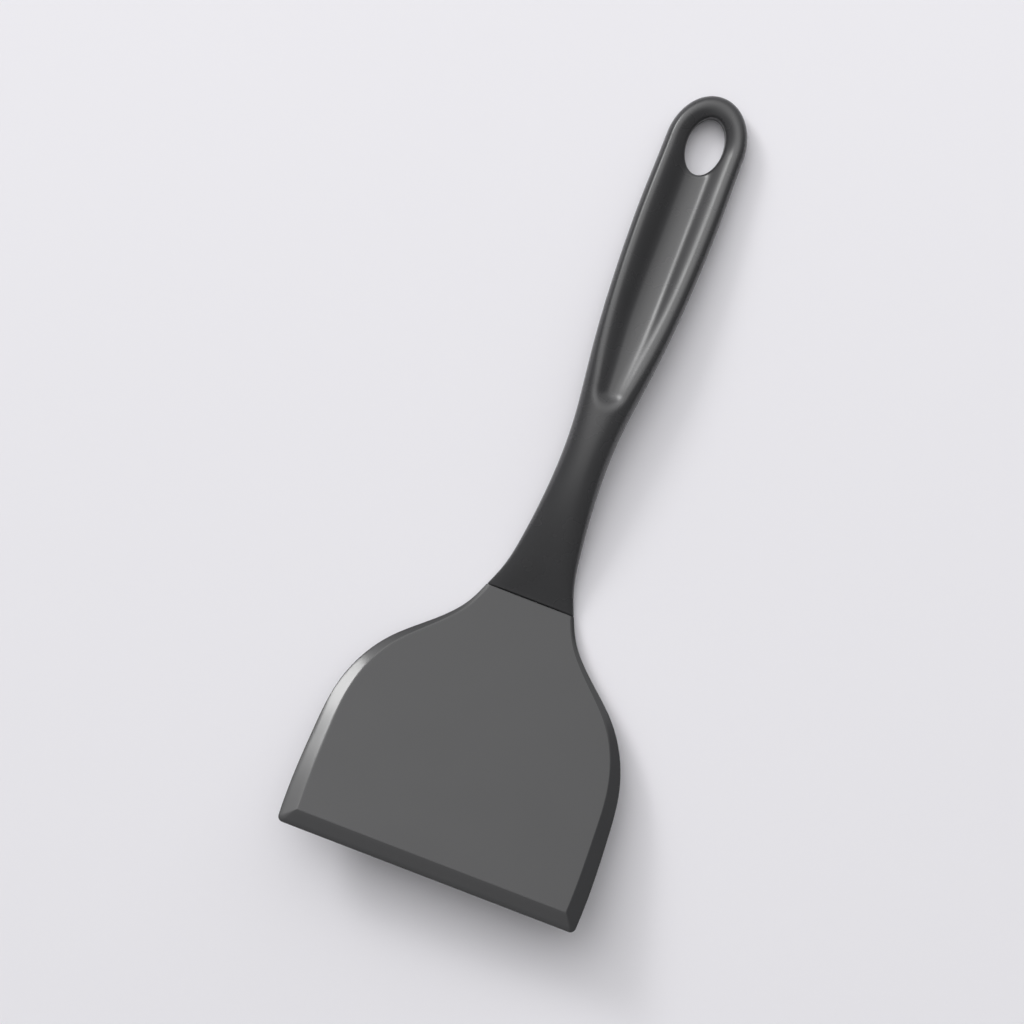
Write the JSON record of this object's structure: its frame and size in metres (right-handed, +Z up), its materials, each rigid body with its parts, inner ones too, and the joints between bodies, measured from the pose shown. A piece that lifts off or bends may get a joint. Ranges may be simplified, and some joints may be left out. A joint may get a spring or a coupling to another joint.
{
  "type": "grill spatula",
  "caption": "Wide flat turner with bevelled front and side edges, a curved neck and a scooped grip that ends in a hanging hole.",
  "frame": {"origin": "on the table, under the middle of the tool's length and width, as it lies face up at rest", "axes": "+Y from the blade towards the grip's end, +X across the blade, +Z up"},
  "size_m": [0.1, 0.2632, 0.026],
  "materials": {
    "handle": "smooth glossy dark-grey nylon with soft moulding waviness",
    "blade": "fine satin dark-grey nylon, glossier on the bevels",
    "core": "plain rolled stainless strip, inside the mouldings"
  },
  "bodies": {
    "root": {"handle": "handle", "blade": "blade", "core_plate": "core"}
  },
  "joints": []
}
